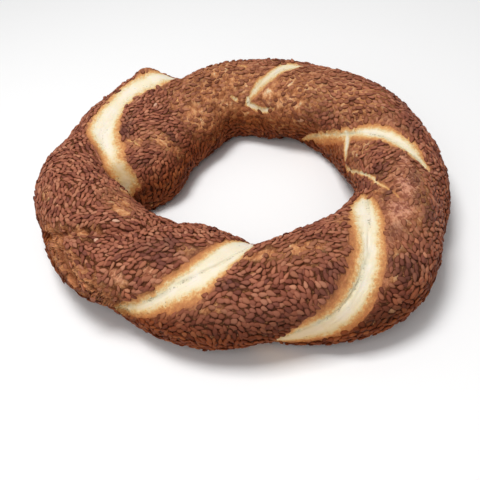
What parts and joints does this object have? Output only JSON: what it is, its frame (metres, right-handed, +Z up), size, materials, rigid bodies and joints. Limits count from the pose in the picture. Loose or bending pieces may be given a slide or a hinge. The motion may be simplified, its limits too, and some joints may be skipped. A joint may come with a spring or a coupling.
{
  "type": "simit",
  "caption": "Round bread ring of two ropes of dough twisted together, with a hole in the middle, a flat underside and a sesame crust that splits open over the pale crumb along the twists.",
  "frame": {"origin": "centre of the ring's footprint, on the surface that its flat underside stands on", "axes": "+Z up out of the ring; +X to the right and +Y away, seen from the front, with the closed join at the far left"},
  "size_m": [0.1586, 0.1566, 0.0318],
  "materials": {
    "sesame_crust": "dry brown baked crust, thickly covered in toasted sesame, with bare cream splits along the twists"
  },
  "bodies": {
    "root": {"simit": "sesame_crust"}
  },
  "joints": []
}
